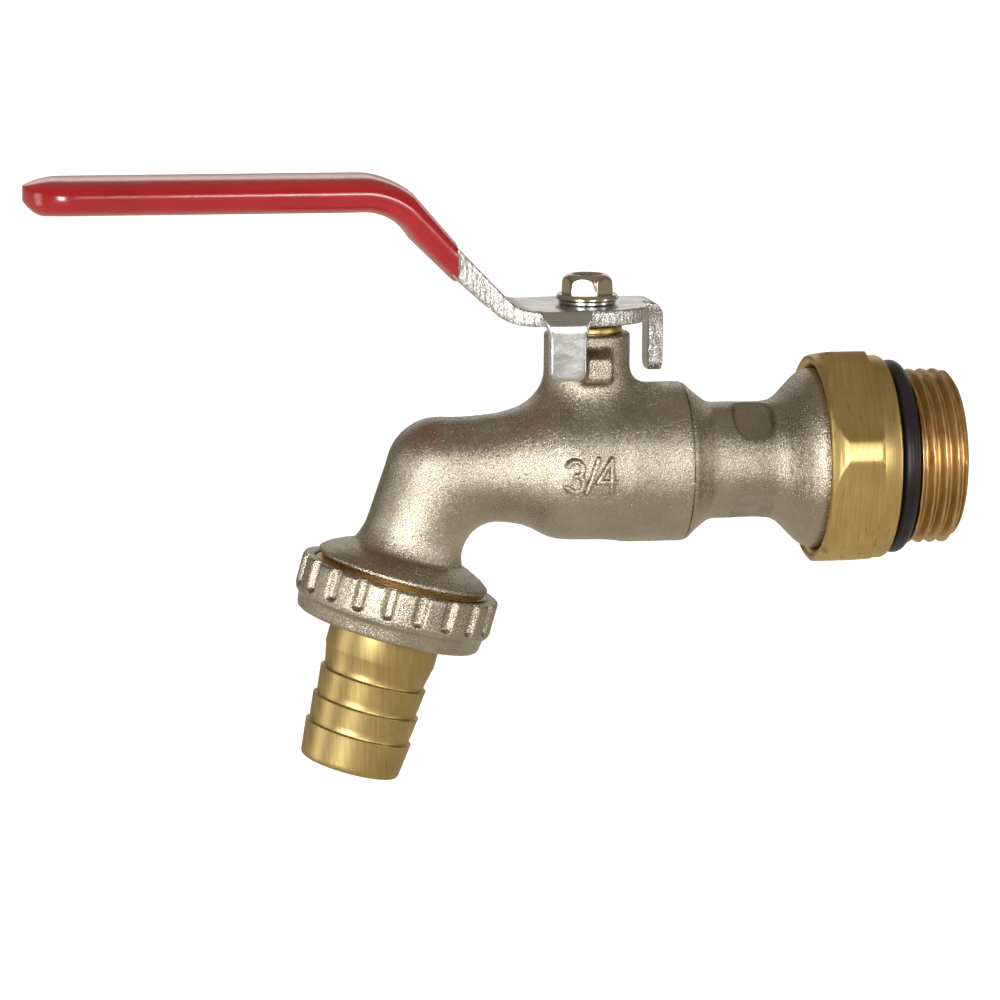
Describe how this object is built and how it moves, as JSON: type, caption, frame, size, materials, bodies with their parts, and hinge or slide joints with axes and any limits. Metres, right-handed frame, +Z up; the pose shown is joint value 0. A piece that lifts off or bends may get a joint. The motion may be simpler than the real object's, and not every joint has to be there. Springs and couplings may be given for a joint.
{
  "type": "hose bib",
  "caption": "Lever ball hose bib: swivel hexagon inlet with male thread and O-ring, cast nickel body, red sleeved lever, ring nut and barbed hose tail.",
  "frame": {"origin": "centre of the inlet collar's end face, where the O-ring meets the wall fitting", "axes": "+X along the inlet axis towards the wall, +Z up the valve stem; the spout and the open lever point towards -X"},
  "size_m": [0.1756, 0.0426, 0.1144],
  "materials": {
    "nickel": "satin nickel plate over a sand casting",
    "brass": "bright machined brass",
    "zinc": "zinc plated pressed steel",
    "chrome": "polished chrome plate",
    "red_vinyl": "glossy dipped vinyl",
    "rubber": "black nitrile",
    "ptfe": "white PTFE"
  },
  "bodies": {
    "wall_union": {"inlet_union": "brass", "inlet_o_ring": "rubber"},
    "tap": {"inlet_tailpiece": "nickel", "swivel_o_ring": "rubber", "body": "nickel", "seat_ring_inlet": "ptfe", "seat_ring_outlet": "ptfe", "stem_thrust_washer": "ptfe", "packing_ring": "ptfe", "gland_nut": "brass"},
    "lever_set": {"lever": "zinc", "lever_sleeve": "red_vinyl", "lever_washer": "zinc", "lever_nut": "nickel", "stem": "brass", "stem_o_ring": "rubber", "ball": "chrome"},
    "outlet_seal": {"outlet_gasket": "rubber"},
    "ring_nut": {"outlet_nut": "nickel"},
    "hose_tail": {"hose_barb": "brass"}
  },
  "joints": [
    {"name": "tap_swivel", "type": "hinge", "parent": "wall_union", "child": "tap", "pos_m": [0, 0, 0], "axis": [1, 0, 0], "continuous": true},
    {"name": "lever_turn", "type": "hinge", "parent": "tap", "child": "lever_set", "pos_m": [-0.0569, 0, 0], "axis": [0, 0, 1], "range_deg": [-90, 0]},
    {"name": "outlet_slide", "type": "slide", "parent": "tap", "child": "outlet_seal", "axis": [-0.2672, 0, -0.9636], "range_m": [0, 0.00693]},
    {"name": "outlet_nut_spin", "type": "hinge", "parent": "outlet_seal", "child": "ring_nut", "pos_m": [-0.0864, 0, -0.00075], "axis": [-0.2672, 0, -0.9636], "range_deg": [0, 1080]},
    {"name": "hose_tail_swivel", "type": "hinge", "parent": "outlet_seal", "child": "hose_tail", "pos_m": [-0.0864, 0, -0.00075], "axis": [-0.2672, 0, -0.9636], "continuous": true}
  ],
  "couplings": [
    {"joint": "outlet_slide", "follows": "outlet_nut_spin", "m_per_rad": 0.00036749}
  ]
}
